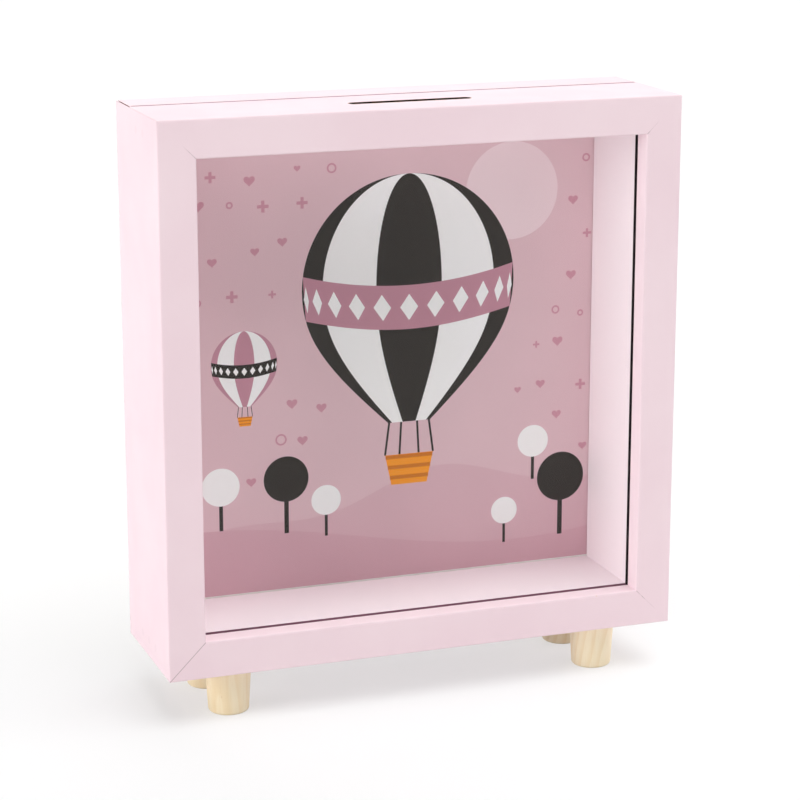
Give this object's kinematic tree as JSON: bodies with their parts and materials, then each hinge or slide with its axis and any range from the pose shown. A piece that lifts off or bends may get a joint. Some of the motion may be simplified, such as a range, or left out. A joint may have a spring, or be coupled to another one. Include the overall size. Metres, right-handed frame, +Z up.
{
  "type": "money box",
  "caption": "Square wooden money box like a deep picture frame on turned feet, with a coin slot on top, a clear front pane and a printed back that lifts out upwards.",
  "frame": {"origin": "on the table, under the middle of the case", "axes": "+X to the viewer's right across the width, +Y from the clear front towards the back, +Z up"},
  "size_m": [0.2, 0.058, 0.2235],
  "materials": {
    "painted_board": "fibreboard with pale pink satin paint",
    "clear_pane": "clear, polished",
    "print": "matt print in dusty pink",
    "raw_board": "bare thin fibreboard",
    "foot_wood": "bare turned pale wood",
    "dowel_wood": "bare beech dowel",
    "brad_steel": "plain wire"
  },
  "bodies": {
    "case": {"case_bottom": "painted_board", "case_right": "painted_board", "case_top": "painted_board", "case_left": "painted_board", "front_glass": "clear_pane", "foot_front_left": "foot_wood", "foot_front_right": "foot_wood", "foot_rear_left": "foot_wood", "foot_rear_right": "foot_wood", "foot_dowel_front_left": "dowel_wood", "foot_dowel_front_right": "dowel_wood", "foot_dowel_rear_left": "dowel_wood", "foot_dowel_rear_right": "dowel_wood", "corner_brads_top_left": "brad_steel", "corner_brads_top_right": "brad_steel", "corner_brads_bottom_left": "brad_steel", "corner_brads_bottom_right": "brad_steel"},
    "sliding_back": {"lid_strip": "painted_board", "back_panel": "raw_board", "print_sheet": "print"}
  },
  "joints": [
    {"name": "back_slide", "type": "slide", "parent": "case", "child": "sliding_back", "axis": [0, 0, 1], "range_m": [0, 0.2]}
  ]
}
